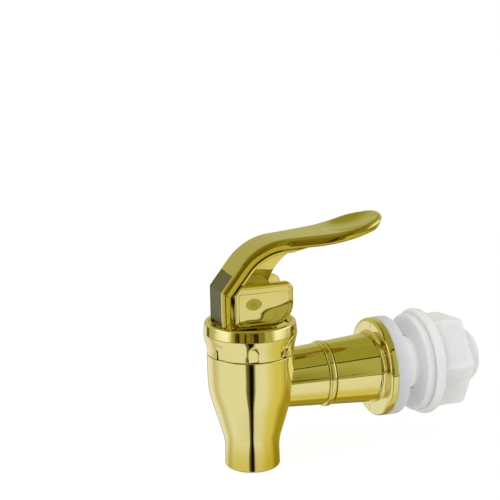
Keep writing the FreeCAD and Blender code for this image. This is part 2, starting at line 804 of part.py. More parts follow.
def make_lever_yoke():
    body = new_body("lever_yoke")
    roof = f"({FOOT} + cheek_height)"
    slant = "tan(rise_angle)"
    rail_crease, rail_crown = rail_line("strap_gap")
    front_top = f"({rail_crease[1]} + (-cheek_front - {rail_crease[0]}) * {slant})"
    slant_top = f"({rail_crease[0]} + ({roof} - {rail_crease[1]}) / {slant})"
    cheek = outline(body, "XZ_Plane", [
        ("-cheek_front", FOOT),
        ("cheek_rear", FOOT, "cam_radius"),
        ("cheek_rear", roof, "cheek_corner"),
        (slant_top, roof),
        ("-cheek_front", front_top),
    ])
    pad(body, cheek, "2 * lever_half_width", both_ways=True)
    inner_half = "(lever_half_width - cheek_wall)"
    hollow = outline(body, "XZ_Plane", [
        ("-cheek_front + yoke_front_wall", FOOT + " - overcut"),
        ("cheek_rear + overcut", FOOT + " - overcut"),
        ("cheek_rear + overcut", roof + " + overcut"),
        ("roof_rear", roof + " + overcut"),
        ("roof_rear", roof + " - yoke_roof"),
        ("-cheek_front + yoke_front_wall", roof + " - yoke_roof"),
    ])
    pocket(body, hollow, f"2 * {inner_half}", both_ways=True)
    spine_front = "-arm_front + arm_front_wall + joint_gap"
    spine = outline(body, "XZ_Plane", [
        (spine_front, FOOT),
        ("-cheek_front + yoke_front_wall", FOOT),
        ("-cheek_front + yoke_front_wall", roof + " - yoke_roof"),
        ("roof_rear", roof + " - yoke_roof"),
        (slant_top, roof),
        (spine_front, f"{rail_crease[1]} + ({spine_front} - {rail_crease[0]}) * {slant}"),
    ])
    pad(body, spine, f"2 * {inner_half}", both_ways=True)
    far_rail = along(rail_crown, "top_angle", "web_reach")
    web = outline(body, "XZ_Plane", [
        (slant_top, roof),
        ("roof_rear", roof + " - yoke_roof"),
        ("web_foot", roof + " - yoke_roof"),
        ("web_knee", rail_crown[1] + " - web_knee_drop", "web_bend"),
        far_rail,
        rail_crown + ("crown_bend - arm_wall - strap_gap",),
    ])
    pad(body, web, "2 * web_half_width", both_ways=True)
    under_crease, under_crown = rail_line("(strap_gap + rail_wall)")
    rail_rear = along(rail_crown, "top_angle", "rail_end")
    under_rear = along(under_crown, "top_angle", "rail_end")
    rail = outline(body, "XZ_Plane", [
        (slant_top, roof),
        (f"({under_crease[0]} + ({roof} - {under_crease[1]}) / {slant})", roof),
        under_crown + ("crown_bend - arm_wall - strap_gap - rail_wall",),
        under_rear,
        rail_rear,
        rail_crown + ("crown_bend - arm_wall - strap_gap",),
    ])
    pad(body, rail, "2 * rail_half_width", both_ways=True)
    socket = circle(body, "XZ_Plane", "0", PIVOT, "pin_radius + pin_run_gap")
    pocket(body, socket, "2 * (pin_reach + socket_side_gap)", both_ways=True)
    lead = outline(body, "XZ_Plane", [
        ("-snap_slot", FOOT + " - overcut"),
        ("snap_slot", FOOT + " - overcut"),
        ("snap_slot", PIVOT),
        ("-snap_slot", PIVOT),
    ])
    pocket(body, lead, f"2 * ({inner_half} + snap_depth)", both_ways=True)
    return body


PARTS = [
    make_barrel(),
    make_bonnet(),
    make_inlet_sleeve(),
    make_shank(),
    make_shank_seal(),
    make_front_washer(),
    make_rear_washer(),
    make_mounting_nut(),
    make_seat_cup(),
    make_stem(),
    make_spring_washer(),
    make_stem_spring(),
    make_pivot_pin(),
    make_lever_arm(),
    make_lever_inlay(),
    make_lever_yoke(),
]

doc.recompute()
for item in doc.Objects:
    if "Invalid" in item.State or "Error" in item.State:
        raise RuntimeError(f"{item.Label} could not be made")
for part in PARTS:
    if part.Shape.isNull() or not part.Shape.isValid():
        raise RuntimeError(f"{part.Label} has no valid solid")

os.makedirs("parts", exist_ok=True)
for part in PARTS:
    part.Shape.exportStep(f"parts/{part.Label}.step")
    print(part.Label, len(part.Shape.Solids), round(part.Shape.Volume, 2))
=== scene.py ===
import math

import bpy
from mathutils import Matrix, Vector


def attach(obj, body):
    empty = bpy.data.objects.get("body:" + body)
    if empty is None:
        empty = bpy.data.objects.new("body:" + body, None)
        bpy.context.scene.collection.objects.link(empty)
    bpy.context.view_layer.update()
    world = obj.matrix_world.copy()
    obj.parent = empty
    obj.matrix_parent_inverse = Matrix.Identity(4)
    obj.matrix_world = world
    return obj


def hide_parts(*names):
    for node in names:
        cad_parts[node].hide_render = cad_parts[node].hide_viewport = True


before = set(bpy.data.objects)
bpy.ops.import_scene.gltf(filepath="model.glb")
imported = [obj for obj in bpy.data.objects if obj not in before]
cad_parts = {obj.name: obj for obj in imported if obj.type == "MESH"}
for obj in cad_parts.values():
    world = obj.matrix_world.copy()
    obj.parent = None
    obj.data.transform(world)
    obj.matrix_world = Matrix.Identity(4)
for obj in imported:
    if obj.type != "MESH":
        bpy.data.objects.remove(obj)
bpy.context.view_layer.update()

MM = 0.001
TURN = 2 * math.pi

# Keeps what stands under a root above nothing
TINY = 0.0001

# Levels and places along the spigot, in millimetres
INLET_HEIGHT = 25.2
BARREL_TOP = 34.8
COLLAR_TOP = 40.2
RECESS_FLOOR = 43.0
RIM_TOP = 44.4
FOOT = 43.3
PIVOT = 50.4
SLEEVE_START = 21.35
FLANGE_FRONT = 38.6
FLANGE_BACK = 41.1
FLANGE_RADIUS = 15.0
FRONT_WASHER_END = 45.0
REAR_WASHER_START = 51.0
NUT_SEAT = 53.4
NUT_FLATS = 56.8
NUT_END = 66.4
SHANK_END = 72.4
SHANK_RADIUS = 8.0
SHANK_BORE = 4.8
SHANK_HOLE = 8.1
THREAD_START = 42.0
THREAD_PITCH = 2.0
THREAD_DEPTH = 0.34

# The lever's parts that its materials follow too, in millimetres
STRAP_HALF = 6.5
PADDLE_HALF = 9.4
CHEEK_FRONT = -6.7
CHEEK_REAR = 11.2
CHEEK_TOP = 56.1
CHEEK_CORNER = 6.5
CHEEK_OUTSIDE = 6.5
DIMPLE_CENTRE = -0.94
DIMPLE_HALF_LENGTH = 2.4
DIMPLE_HALF_HEIGHT = 1.75


# Camera

CAMERA_PLACE = (-113.18, -315.53, 136.57)
CAMERA_TARGET = (0.37, 0.0, 65.05)
CAMERA_ROLL = -0.0177
CAMERA_LENS = 85.76


def look_from(place, target, roll, lens):
    """The photograph's point of view, in millimetres, with the roll in radians."""
    bpy.ops.object.camera_add()
    camera = bpy.context.object
    place, target = Vector(place) * MM, Vector(target) * MM
    forward = (target - place).normalized()
    right = forward.cross(Vector((0, 0, 1))).normalized()
    up = right.cross(forward)
    rolled_right = right * math.cos(roll) + up * math.sin(roll)
    rolled_up = up * math.cos(roll) - right * math.sin(roll)
    turn = Matrix((rolled_right, rolled_up, -forward)).transposed()
    camera.matrix_world = Matrix.Translation(place) @ turn.to_4x4()
    camera.data.sensor_width = 36.0
    camera.data.lens = lens
    camera.data.clip_start = 0.01
    camera.data.clip_end = 10.0
    bpy.context.scene.camera = camera


look_from(CAMERA_PLACE, CAMERA_TARGET, CAMERA_ROLL, CAMERA_LENS)


# Shader nodes

# A Mix node's colour sockets, whose names it has more than once
MIX_FIRST, MIX_SECOND, MIX_RESULT = 6, 7, 2


class Wire:
    """A node's output. Sums written with wires add Math nodes to their tree."""

    def __init__(self, tree, socket=None):
        self.tree = tree
        self.socket = socket

    def node(self, kind, settings=None, sockets=None, output=0):
        """Any node: its settings first, then the values or links of its sockets."""
        node = self.tree.nodes.new(kind)
        for key, setting in (settings or {}).items():
            setattr(node, key, setting)
        for key, given in (sockets or {}).items():
            if isinstance(given, Wire):
                self.tree.links.new(given.socket, node.inputs[key])
            else:
                node.inputs[key].default_value = given
        return Wire(self.tree, node.outputs[output] if node.outputs else None)

    def sum(self, operation, *terms):
        return self.node("ShaderNodeMath", {"operation": operation}, dict(enumerate(terms)))

    def __add__(self, other):
        return self.sum("ADD", self, other)

    def __radd__(self, other):
        return self.sum("ADD", other, self)

    def __sub__(self, other):
        return self.sum("SUBTRACT", self, other)

    def __rsub__(self, other):
        return self.sum("SUBTRACT", other, self)

    def __mul__(self, other):
        return self.sum("MULTIPLY", self, other)

    def __rmul__(self, other):
        return self.sum("MULTIPLY", other, self)

    def __truediv__(self, other):
        return self.sum("DIVIDE", self, other)

    def __abs__(self):
        return self.sum("ABSOLUTE", self)

    def root(self):
        return self.sum("SQRT", self)

    def larger(self, other):
        return self.sum("MAXIMUM", self, other)

    def smaller(self, other):
        return self.sum("MINIMUM", self, other)

    def step(self, low, high):
        """0 below the low value, 1 above the high one and a smooth rise between them."""
        return self.node(
            "ShaderNodeMapRange", {"interpolation_type": "SMOOTHSTEP"},
            {"Value": self, "From Min": low, "From Max": high},
        )

    def span(self, low, high, soft):
        """1 between two values and 0 beyond them, with soft ends."""
        return self.step(low - soft, low + soft) * (1 - self.step(high - soft, high + soft))

    def blend(self, first, second):
        """A colour that goes from the first to the second as this value goes from 0 to 1."""
        return self.node(
            "ShaderNodeMix", {"data_type": "RGBA"},
            {"Factor": self, MIX_FIRST: first, MIX_SECOND: second}, output=MIX_RESULT,
        )

    def parts(self):
        """A vector's three parts."""
        split = self.node("ShaderNodeSeparateXYZ", None, {"Vector": self})
        return [Wire(self.tree, socket) for socket in split.socket.node.outputs]

    def place(self):
        """The object's own coordinates in millimetres, one wire for each axis."""
        spot = self.node("ShaderNodeTexCoord", output="Object")
        return [part / MM for part in spot.parts()]

    def noise(self, size, detail):
        """Smooth noise on the object's own coordinates, its grain given in millimetres."""
        spot = self.node("ShaderNodeTexCoord", output="Object")
        return self.node(
            "ShaderNodeTexNoise", None,
            {"Vector": spot, "Scale": 1 / (size * MM), "Detail": detail},
        )


def new_material(name):
    material = bpy.data.materials.new(name)
    material.use_nodes = True
    material.node_tree.nodes.clear()
    return material, Wire(material.node_tree)


def surface(wires, sockets):
    """A principled surface on the material's output."""
    shader = wires.node("ShaderNodeBsdfPrincipled", None, sockets)
    wires.node("ShaderNodeOutputMaterial", None, {"Surface": shader})


def bumped(wires, height, strength, depth, under=None):
    """A normal that follows a height, whose full range is a depth in millimetres."""
    sockets = {"Height": height, "Strength": strength, "Distance": depth * MM}
    if under:
        sockets["Normal"] = under
    return wires.node("ShaderNodeBump", None, sockets)


def gold_plating(name, pale, deep, depth, shape=None):
    """Bright plating that goes from a pale to a deep gold where the depth function says.

    A shape is a height in millimetres.
    """
    material, wires = new_material(name)
    flow = wires.noise(9.0, 1.0)
    haze = wires.noise(1.6, 4.0)
    share = depth(wires) + (flow - 0.5) * 0.12
    colour = share.step(0.0, 1.0).blend((*pale, 1), (*deep, 1))
    normal = bumped(wires, flow, 0.5, 0.12)
    if shape:
        normal = bumped(wires, shape(wires), 1.0, 1.0, normal)
    surface(wires, {
        "Base Color": colour,
        "Metallic": 1.0,
        "Roughness": 0.035 + haze.step(0.35, 0.8) * 0.035,
        "Normal": normal,
    })
    return material


def barrel_painted_reflection(wires):
    """Painted reflection: the plating is painted deeper gold towards the outlet."""
    return 1 - wires.place()[2].step(-2.0, 15.0)


def even_depth(wires):
    """The plating is nearly even, with slightly deeper clouds."""
    return wires.noise(12.0, 1.0).step(0.35, 0.65) * 0.25


def strap_painted_reflection(wires):
    """Painted reflection: the plating is painted deeper gold on the strap's sides, which follow its
    spread to the paddle.
    """
    reach, across, _ = wires.place()
    edge = reach.step(4.0, 28.0) * (PADDLE_HALF - STRAP_HALF) + STRAP_HALF
    return (abs(across) - edge).step(-1.0, -0.3) * 0.85


def cheek_painted_reflection(wires):
    """Painted reflection: the plating is painted deeper gold on the cheeks' raised border and in their
    dimples.
    """
    reach, across, height = wires.place()
    aside = (reach - (CHEEK_REAR - CHEEK_CORNER)).larger(0.0)
    down = (FOOT + CHEEK_CORNER - height).larger(0.0)
    inwards = CHEEK_CORNER - (aside * aside + down * down).root()
    border = 1 - inwards.smaller(CHEEK_TOP - height).step(0.75, 0.95)
    outer = abs(across).step(4.2, 4.4) * (1 - height.step(CHEEK_TOP + 0.05, CHEEK_TOP + 0.1))
    # The dimples' share of the painted reflection.
    hollow = 1 - dimple(reach, height).step(0.15, 0.85)
    return border * outer * 0.85 + hollow * 0.6


def dimple(reach, height):
    """0 at the middle of the dimple over the pin's socket and 1 at its oval edge."""
    along = (reach - DIMPLE_CENTRE) / DIMPLE_HALF_LENGTH
    up = (height - PIVOT) / DIMPLE_HALF_HEIGHT
    return (along * along + up * up + TINY).root()


def cheek_shape(wires):
    """The moulding's slight hollow and waves over the cheek."""
    reach, _, height = wires.place()
    along = (reach - 2.2) / 9.0
    up = (height - 49.6) / 6.4
    lean = up - along * 0.45
    hollow = lean * lean * 0.42 - along * along * 0.1
    return hollow + wires.noise(6.0, 0.0) * 0.30


def natural_plastic():
    """Translucent plastic with a painted glow: a little everywhere, and more on the shank between the
    washers, where the light that they let through would show.
    """
    material, wires = new_material("natural_plastic")
    cloud = wires.noise(7.0, 1.5)
    painted_glow_between_washers = wires.place()[0].span(44.6, 52.0, 0.8)
    grain = wires.noise(0.35, 2.0)
    dark, light = (0.735, 0.738, 0.740, 1), (0.765, 0.768, 0.768, 1)
    surface(wires, {
        "Base Color": cloud.step(0.3, 0.7).blend(dark, light),
        "Roughness": 0.26 + cloud.step(0.3, 0.8) * 0.06,
        "IOR": 1.49,
        "Subsurface Weight": 0.85,
        "Subsurface Radius": (1.0, 1.0, 1.0),
        "Subsurface Scale": 6.0 * MM,
        # Painted glow: a little on all of it, more on the shank between the washers.
        "Emission Color": painted_glow_between_washers.blend((0.04, 0.04, 0.04, 1), (0.20, 0.20, 0.20, 1)),
        "Emission Strength": 1.0,
        "Normal": bumped(wires, grain, 0.25, 0.02),
    })
    return material


def silicone(name, dark, light, glow):
    """Translucent rubber, with a little glow for the light that comes through it."""
    material, wires = new_material(name)
    cloud = wires.noise(6.0, 1.5)
    grain = wires.noise(0.25, 2.0)
    surface(wires, {
        "Base Color": cloud.step(0.3, 0.7).blend(dark, light),
        "Roughness": 0.42 + cloud.step(0.3, 0.8) * 0.10,
        "IOR": 1.41,
        "Subsurface Weight": 0.8,
        "Subsurface Radius": (1.0, 1.0, 1.05),
        "Subsurface Scale": 5.0 * MM,
        "Emission Color": cloud.blend((glow, glow, glow, 1), (*[glow * 1.1] * 3, 1)),
        "Emission Strength": 1.0,
        "Normal": bumped(wires, grain, 0.3, 0.03),
    })
    return material


# Painted reflection: a matte dark olive that stands in for the plated recess floor's reflection of the
# dark room.
def inlay_olive():
    material, wires = new_material("inlay_olive")
    cloud = wires.noise(3.0, 2.0)
    grain = wires.noise(0.2, 2.0)
    dark, light = (0.088, 0.088, 0.030, 1), (0.100, 0.100, 0.038, 1)
    surface(wires, {
        "Base Color": cloud.step(0.3, 0.7).blend(dark, light),
        "Roughness": 0.44 + cloud.step(0.3, 0.8) * 0.08,
        "IOR": 1.5,
        "Specular IOR Level": 0.14,
        "Normal": bumped(wires, grain, 0.2, 0.01),
    })
    return material


def white_acetal():
    material, wires = new_material("white_acetal")
    cloud = wires.noise(3.0, 3.0)
    surface(wires, {
        "Base Color": cloud.step(0.3, 0.7).blend((0.72, 0.72, 0.70, 1), (0.78, 0.78, 0.76, 1)),
        "Roughness": 0.34 + cloud.step(0.3, 0.8) * 0.10,
        "IOR": 1.48,
        "Normal": bumped(wires, wires.noise(0.3, 2.0), 0.2, 0.02),
    })
    return material


def stainless():
    material, wires = new_material("stainless")
    streak = wires.noise(0.5, 4.0)
    surface(wires, {
        "Base Color": streak.step(0.3, 0.7).blend((0.56, 0.56, 0.55, 1), (0.66, 0.66, 0.65, 1)),
        "Metallic": 1.0,
        "Roughness": 0.22 + streak.step(0.3, 0.8) * 0.15,
        "Normal": bumped(wires, streak, 0.2, 0.01),
    })
    return material


# The plating's tones, from the palest to the deepest
PALE = (0.735, 0.660, 0.290)
STRAW = (0.68, 0.60, 0.22)
DEEP = (0.585, 0.515, 0.165)
HONEY = (0.60, 0.49, 0.09)
AMBER = (0.56, 0.44, 0.03)
RICH = (0.44, 0.345, 0.03)

GOLD = gold_plating("gold_plating", PALE, DEEP, even_depth)
# Painted reflection: the barrel's copy of the plating turns deeper gold towards its outlet.
BARREL_GOLD = gold_plating("gold_plating_barrel", PALE, HONEY, barrel_painted_reflection)
# Painted reflection: the arm's copy of the plating is deeper gold all over, and deepest on the strap's
# sides.
ARM_GOLD = gold_plating("gold_plating_arm", DEEP, RICH, strap_painted_reflection)
# Painted reflection: the cheeks' copy of the plating is a little deeper gold, and deeper still on their
# border and in their dimples.
CHEEK_GOLD = gold_plating("gold_plating_cheeks", STRAW, AMBER, cheek_painted_reflection, cheek_shape)
NATURAL = natural_plastic()
MILKY = silicone("milky_silicone", (0.630, 0.630, 0.665, 1), (0.650, 0.650, 0.685, 1), 0.03)
CLEAR = silicone("clear_silicone", (0.690, 0.690, 0.695, 1), (0.715, 0.715, 0.715, 1), 0.05)
OLIVE = inlay_olive()
ACETAL = white_acetal()
STEEL = stainless()


# Modelling steps

# Points of a turned solid closer than this are one, in metres
WELD = 0.0005 * MM


def only(piece):
    """Select one piece and nothing else."""
    bpy.ops.object.select_all(action="DESELECT")
    bpy.context.view_layer.objects.active = piece
    piece.select_set(True)


def pick(piece, kind, test):
    """Go into edit mode with only those vertices, edges or faces selected that pass the test."""
    only(piece)
    bpy.ops.object.mode_set(mode="EDIT")
    bpy.ops.mesh.select_mode(type=kind)
    bpy.ops.mesh.select_all(action="DESELECT")
    bpy.ops.object.mode_set(mode="OBJECT")
    mesh = piece.data
    items = {"VERT": mesh.vertices, "EDGE": mesh.edges, "FACE": mesh.polygons}[kind]
    for item in items:
        item.select = test(item)
    bpy.ops.object.mode_set(mode="EDIT")


def everything(item):
    """A test that every vertex, edge or face passes."""
    return True


def leave():
    bpy.ops.object.mode_set(mode="OBJECT")


def modify(piece, kind, **settings):
    """Add a modifier with its settings and apply it."""
    only(piece)
    modifier = piece.modifiers.new(kind, kind)
    for key, setting in settings.items():
        setattr(modifier, key, setting)
    bpy.ops.object.modifier_apply(modifier=modifier.name)


def combine(piece, operation, *tools):
    """Join, cut or intersect a piece with other solids, which are used up."""
    for tool in tools:
        modify(piece, "BOOLEAN", operation=operation, object=tool, solver="EXACT")
        bpy.data.objects.remove(tool)


def edge_angle(piece, least):
    """A test for edges whose two faces meet at least at an angle, in degrees."""
    mesh = piece.data
    normals = {}
    for face in mesh.polygons:
        for key in face.edge_keys:
            normals.setdefault(key, []).append(face.normal.copy())
    limit = math.cos(math.radians(least))

    def sharp(edge):
        sides = normals.get(tuple(sorted(edge.vertices)), [])
        return len(sides) == 2 and sides[0].dot(sides[1]) < limit

    return sharp


def smooth(piece, angle=30):
    """Smooth shading that keeps the sharp edges and lets the large faces lead."""
    only(piece)
    bpy.ops.object.shade_smooth_by_angle(angle=math.radians(angle))
    modify(piece, "WEIGHTED_NORMAL", mode="FACE_AREA", weight=50, keep_sharp=True)


def bend(before, corner, after, radius):
    """Where a rounded corner starts and ends, the arm from its centre, and its turn."""
    back = (corner - before).normalized()
    on = (after - corner).normalized()
    turn = math.atan2(back.x * on.y - back.y * on.x, back.dot(on))
    trim = radius * math.tan(abs(turn) / 2)
    side = Vector((-back.y, back.x)) * math.copysign(radius, turn)
    return corner - back * trim, corner + on * trim, side, turn


def rounded(corners, step):
    """The points of a closed outline, where a corner's third number is its radius.

    The step is the largest angle between the points of a corner, in degrees.
    """
    points = []
    count = len(corners)
    for k, corner in enumerate(corners):
        here = Vector(corner[:2])
        if len(corner) < 3:
            points.append(tuple(here))
            continue
        first, _, side, turn = bend(
            Vector(corners[k - 1][:2]), here, Vector(corners[(k + 1) % count][:2]), corner[2]
        )
        parts = max(2, math.ceil(abs(math.degrees(turn)) / step))
        for part in range(parts + 1):
            points.append(tuple(first + side - Matrix.Rotation(turn * part / parts, 2) @ side))
    return points


def drawn(name, points, place):
    """A flat face whose corners are the points, each put in place by a function."""
    bpy.ops.mesh.primitive_circle_add(vertices=len(points), fill_type="NGON")
    piece = bpy.context.object
    piece.name = piece.data.name = name
    for vertex, point in zip(piece.data.vertices, points):
        vertex.co = Vector(place(*point)) * MM
    return piece


def turned(name, corners, sides, level=False, step=6.0):
    """A solid turned from its outline of radius and height, or of reach and radius if level."""
    points = rounded(corners, step)
    if level:
        piece = drawn(name, points, lambda reach, radius: (reach, 0, INLET_HEIGHT + radius))
        centre, axis = (0, 0, INLET_HEIGHT * MM), (1, 0, 0)
    else:
        piece = drawn(name, points, lambda radius, height: (radius, 0, height))
        centre, axis = (0, 0, 0), (0, 0, 1)
    pick(piece, "FACE", everything)
    bpy.ops.mesh.delete(type="ONLY_FACE")
    bpy.ops.mesh.select_mode(type="VERT")
    bpy.ops.mesh.select_all(action="SELECT")
    bpy.ops.mesh.spin(steps=sides, angle=TURN, center=centre, axis=axis)
    bpy.ops.mesh.select_all(action="SELECT")
    bpy.ops.mesh.remove_doubles(threshold=WELD)
    bpy.ops.mesh.delete_loose()
    outwards(piece)
    return piece


def outwards(piece):
    """Turn every face of a solid outwards."""
    leave()
    pick(piece, "FACE", everything)
    bpy.ops.mesh.normals_make_consistent(inside=False)
    leave()


def plate(name, corners, half_width, centre=0.0, step=6.0):
    """A solid as wide as two half widths, from its side outline of reach and height."""
    side = centre - half_width
    piece = drawn(name, rounded(corners, step), lambda reach, height: (reach, side, height))
    pick(piece, "FACE", everything)
    bpy.ops.mesh.extrude_region_move(
        TRANSFORM_OT_translate={"value": (0, 2 * half_width * MM, 0)}
    )
    outwards(piece)
    return piece


def bevel_edges(piece, width, segments, least, below=math.inf):
    """Round the edges below a height whose faces meet at least at an angle."""
    sharp = edge_angle(piece, least)
    heights = [vertex.co.z / MM for vertex in piece.data.vertices]
    pick(piece, "EDGE", lambda edge: sharp(edge) and max(heights[k] for k in edge.vertices) < below)
    bpy.ops.mesh.bevel(offset=width * MM, offset_type="OFFSET", segments=segments, profile=0.5)
    leave()


def fit_out(piece, body, material, node):
    """Give a finished piece its body and its finish, and hide the node that it stands for."""
    piece.data.materials.clear()
    piece.data.materials.append(material)
    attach(piece, body)
    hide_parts(node)


# Barrel, bonnet and level tube

BARREL_RADIUS = 12.85
BRANCH_START = 4.0
BRANCH_END = 21.3
SHOULDER = 23.75
NOTCHES = 8
FIRST_NOTCH = -106.5
NOTCH_FOOT = 34.0
NOTCH_TOP = 40.6
NOTCH_FLOOR = 12.38
NOTCH_MOUTH = 14.3


def tube_radius(reach):
    """The level tube widens evenly from the barrel to the flange."""
    return 8.75 + 1.85 * (reach - BARREL_RADIUS) / 25.75


def make_barrel():
    barrel = turned("barrel_shell", [
        (0, 0), (8.22, 0, 0.7), (8.20, 1.0, 4.0), (8.07, 5.0, 4.0), (8.07, 7.9, 16.0),
        (12.7, 23.5, 24.0), (BARREL_RADIUS, BARREL_TOP, 0.22), (11.3, BARREL_TOP),
        (11.3, COLLAR_TOP, 0.3), (0, COLLAR_TOP),
    ], sides=224, step=1.5)
    branch = turned("branch", [
        (BRANCH_START, 0), (BRANCH_END, 0), (BRANCH_END, tube_radius(BRANCH_END), 0.2),
        (BRANCH_START, tube_radius(BRANCH_START)),
    ], sides=192, level=True)
    combine(barrel, "UNION", branch)
    chamber = turned("chamber", [
        (0, -1.0), (6.5, -1.0), (6.5, 0), (6.2, 0.3), (6.2, 13.6), (4.5, 13.6), (4.5, 16.6),
        (5.4, 16.6), (5.4, 15.4), (8.2, 15.4), (9.6, 22.0), (9.6, 41.2), (0, 41.2),
    ], sides=128)
    passage = turned("passage", [
        (BRANCH_START, 0), (22.3, 0), (22.3, 7.0), (12.2, 7.0), (12.2, SHANK_BORE),
        (BRANCH_START, SHANK_BORE),
    ], sides=96, level=True)
    combine(barrel, "DIFFERENCE", chamber, passage)
    smooth(barrel)
    fit_out(barrel, "valve_body", BARREL_GOLD, "barrel")


def make_bonnet():
    bonnet = turned("bonnet_cap", [
        (3.08, 37.8), (4.1, 37.8), (4.1, 41.4), (11.4, 41.4), (11.4, 34.9), (12.88, 34.9, 0.3),
        (12.88, 36.6, 4.0), (13.74, 40.6, 4.0), (13.3, RIM_TOP, 0.7), (12.1, RIM_TOP, 0.3),
        (12.1, RECESS_FLOOR, 0.3), (3.08, RECESS_FLOOR, 0.2),
    ], sides=256, step=3.0)
    for place in range(NOTCHES):
        notch = make_notch_cutter(math.radians(360 / NOTCHES * place + FIRST_NOTCH))
        combine(bonnet, "DIFFERENCE", notch)
    smooth(bonnet)
    fit_out(bonnet, "valve_body", GOLD, "bonnet")


def make_notch_cutter(angle):
    """An arch with sloping walls, whose floor is turned a little and leans."""
    half, top = 2.8, (NOTCH_TOP, 2.6)
    arch = rounded([(-half, NOTCH_FOOT), (half, NOTCH_FOOT), (half, *top), (-half, *top)], 12)
    cutter = drawn("notch", arch, lambda across, height: (NOTCH_MOUTH, across, height))
    pick(cutter, "FACE", everything)
    bpy.ops.mesh.extrude_region_move(
        TRANSFORM_OT_translate={"value": ((NOTCH_FLOOR - NOTCH_MOUTH) * MM, 0, 0)}
    )
    bpy.ops.transform.resize(
        value=(1, 0.44, 0.72), center_override=(NOTCH_FLOOR * MM, 0, NOTCH_FOOT * MM),
        orient_type="GLOBAL",
    )
    for axis, lean, height in (("Z", -8, 36.0), ("Y", -7, 36.3)):
        bpy.ops.transform.rotate(
            value=math.radians(lean), orient_axis=axis, orient_type="GLOBAL",
            center_override=(NOTCH_FLOOR * MM, 0, height * MM),
        )
    outwards(cutter)
    cutter.rotation_euler.z = angle
    only(cutter)
    bpy.ops.object.transform_apply(location=False, rotation=True, scale=False)
    return cutter


def make_inlet_sleeve():
    bead_top = tube_radius(BRANCH_END) + 0.55
    sleeve = turned("inlet_tube", [
        (SLEEVE_START, SHANK_HOLE), (SLEEVE_START, bead_top, 0.9), (SHOULDER, bead_top, 0.9),
        (SHOULDER, tube_radius(SHOULDER), 0.12), (FLANGE_FRONT, tube_radius(FLANGE_FRONT), 1.0),
        (FLANGE_FRONT, FLANGE_RADIUS, 1.1), (FLANGE_BACK, FLANGE_RADIUS, 0.3),
        (FLANGE_BACK, SHANK_HOLE),
    ], sides=224, level=True, step=4.0)
    front, groove = FLANGE_FRONT - 0.05, FLANGE_FRONT + 0.12
    for side in (1, -1):
        inner, outer = INLET_HEIGHT + side * 11.4, INLET_HEIGHT + side * 14.2
        parting = plate("parting_line", [
            (front, inner), (groove, inner), (groove, outer), (front, outer),
        ], 0.09)
        combine(sleeve, "DIFFERENCE", parting)
    smooth(sleeve)
    fit_out(sleeve, "valve_body", GOLD, "inlet_sleeve")


# Shank, washers and nut

def within_one(share):
    return min(1.0, max(0.0, share))


def thread_depth(reach, angle):
    """How far the thread's surface lies below its crest."""
    phase = (reach / THREAD_PITCH - angle / TURN) % 1.0
    tooth = within_one((abs(phase - 0.5) * 2 - 0.2) / 0.6)
    fade = within_one((reach - THREAD_START) / 2.0) * within_one((SHANK_END - reach) / 1.6)
    return THREAD_DEPTH * fade * tooth * tooth * (3 - 2 * tooth)


def make_shank():
    rows = [(THREAD_START + 0.2 * row, SHANK_RADIUS) for row in range(149)]
    shank = turned("threaded_shank", [
        (13.6, SHANK_BORE), (13.6, 6.9, 0.3), (SLEEVE_START, 6.9), (SLEEVE_START, SHANK_RADIUS),
        *rows, (SHANK_END, 7.2, 0.3), (SHANK_END, SHANK_BORE, 0.3),
    ], sides=96, level=True)
    for vertex in shank.data.vertices:
        reach, across, up = vertex.co / MM
        up -= INLET_HEIGHT
        radius = math.hypot(across, up)
        if radius > SHANK_RADIUS - 0.01 and reach > FLANGE_BACK:
            share = 1 - thread_depth(reach, math.atan2(up, across)) / radius
            vertex.co = Vector((reach, across * share, INLET_HEIGHT + up * share)) * MM
    smooth(shank, 50)
    fit_out(shank, "valve_body", NATURAL, "shank")


def make_washers():
    front = turned("front_washer_ring", [
        (FLANGE_BACK, SHANK_HOLE), (FLANGE_BACK, 15.1, 0.3), (FRONT_WASHER_END, 15.1, 0.5),
        (FRONT_WASHER_END, SHANK_HOLE, 0.2),
    ], sides=160, level=True, step=12)
    smooth(front)
    fit_out(front, "valve_body", MILKY, "front_washer")
    rear = turned("rear_washer_ring", [
        (REAR_WASHER_START, 8.3, 0.2), (REAR_WASHER_START, 15.0, 1.0),
        (NUT_SEAT - 0.1, 15.0, 0.3), (NUT_SEAT - 0.1, 8.3),
    ], sides=160, level=True, step=9)
    smooth(rear)
    fit_out(rear, "rear_washer", CLEAR, "rear_washer")


NUT_CORNER = 15.1
NUT_TURN = 25
NUT_FLANGE = 16.3
NUT_HEX_START = 55.1


